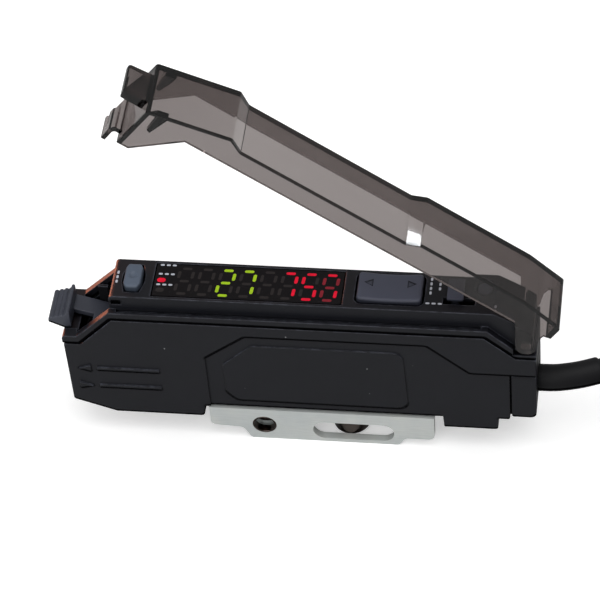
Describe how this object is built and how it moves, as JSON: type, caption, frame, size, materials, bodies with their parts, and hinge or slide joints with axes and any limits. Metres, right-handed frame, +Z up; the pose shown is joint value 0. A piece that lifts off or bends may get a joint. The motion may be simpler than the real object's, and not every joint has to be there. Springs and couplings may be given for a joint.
{
  "type": "fibre optic sensor amplifier",
  "caption": "Slim fibre optic sensor amplifier with a smoked hinged cover held open, a lit segment display, deck keys, a ribbed fibre lock lever, a zinc mounting bracket and a cable.",
  "frame": {"origin": "bottom centre of the amplifier on its bracket, without the cable", "axes": "+X along the housing to the cable end, -X to the fibre ports and lever, -Y to the bracket's screw flange, +Z up through the display"},
  "size_m": [0.1603, 0.0403, 0.0727],
  "materials": {
    "case_black": "fine-grained moulded black, satin",
    "smoke_clear": "smoked see-through, polished",
    "window_smoke": "dark tinted, polished",
    "key_grey": "blue-grey, satin",
    "control_grey": "dark grey, fine-grained",
    "lever_grey": "dark grey, fine-grained",
    "inner_black": "black, plain",
    "steel": "drawn and bright",
    "zinc": "clear zinc plating over rolled sheet",
    "board_green": "solder mask over glass-epoxy",
    "led_red": "tinted lens, lit",
    "digit_face": "dark face with lit segments",
    "cable_black": "PVC sheath, satin",
    "lead_brown": "PVC insulation",
    "lead_blue": "PVC insulation",
    "lead_black": "PVC insulation",
    "lead_white": "PVC insulation"
  },
  "bodies": {
    "base": {"case_lower": "case_black", "case_upper": "case_black", "rear_cap": "case_black", "display_window": "window_smoke", "digits_left": "digit_face", "digits_right": "digit_face", "output_lamp": "led_red", "preset_lamp": "led_red", "display_board": "board_green", "main_board": "board_green", "set_switch": "steel", "rocker_switch_left": "steel", "rocker_switch_right": "steel", "slide_switch": "steel", "reset_switch": "steel", "fibre_seat": "inner_black", "fibre_clamp": "control_grey", "transmit_bush": "inner_black", "receive_bush": "inner_black", "transmit_unit": "steel", "receive_unit": "steel", "lever_pin": "steel", "hinge_pin": "steel", "rail_bracket": "zinc", "cable_boot": "cable_black", "cable": "cable_black", "cable_coil": "cable_black", "coil_tie": "cable_black", "cable_tail": "cable_black", "lead_brown": "lead_brown", "lead_blue": "lead_blue", "lead_black": "lead_black", "lead_white": "lead_white"},
    "cover": {"cover": "smoke_clear"},
    "lever": {"lock_lever": "lever_grey"},
    "set_key": {"set_button": "key_grey"},
    "rocker": {"rocker_button": "control_grey"},
    "slider": {"slide_knob": "control_grey"},
    "reset_key": {"reset_button": "control_grey"},
    "hook": {"rail_hook": "case_black"}
  },
  "joints": [
    {"name": "cover_hinge", "type": "hinge", "parent": "base", "child": "cover", "pos_m": [0.0339, 0, 0.0246], "axis": [0, 1, 0], "range_deg": [-33, 70]},
    {"name": "lever_pivot", "type": "hinge", "parent": "base", "child": "lever", "pos_m": [-0.0298, 0, 0.02], "axis": [0, 1, 0], "range_deg": [0, 50]},
    {"name": "set_press", "type": "slide", "parent": "base", "child": "set_key", "axis": [0, 0, -1], "range_m": [0, 0.0004], "stiffness_N_per_m": 400},
    {"name": "rocker_tilt", "type": "hinge", "parent": "base", "child": "rocker", "pos_m": [0.01335, 0.00025, 0.0296], "axis": [0, 1, 0], "range_deg": [-3, 3], "stiffness_Nm_per_rad": 0.05},
    {"name": "slider_travel", "type": "slide", "parent": "base", "child": "slider", "axis": [1, 0, 0], "range_m": [-0.0008, 0.0014]},
    {"name": "reset_press", "type": "slide", "parent": "base", "child": "reset_key", "axis": [0, 0, -1], "range_m": [0, 0.0004], "stiffness_N_per_m": 400},
    {"name": "hook_release", "type": "slide", "parent": "base", "child": "hook", "axis": [1, 0, 0], "range_m": [0, 0.0014], "stiffness_N_per_m": 800}
  ]
}
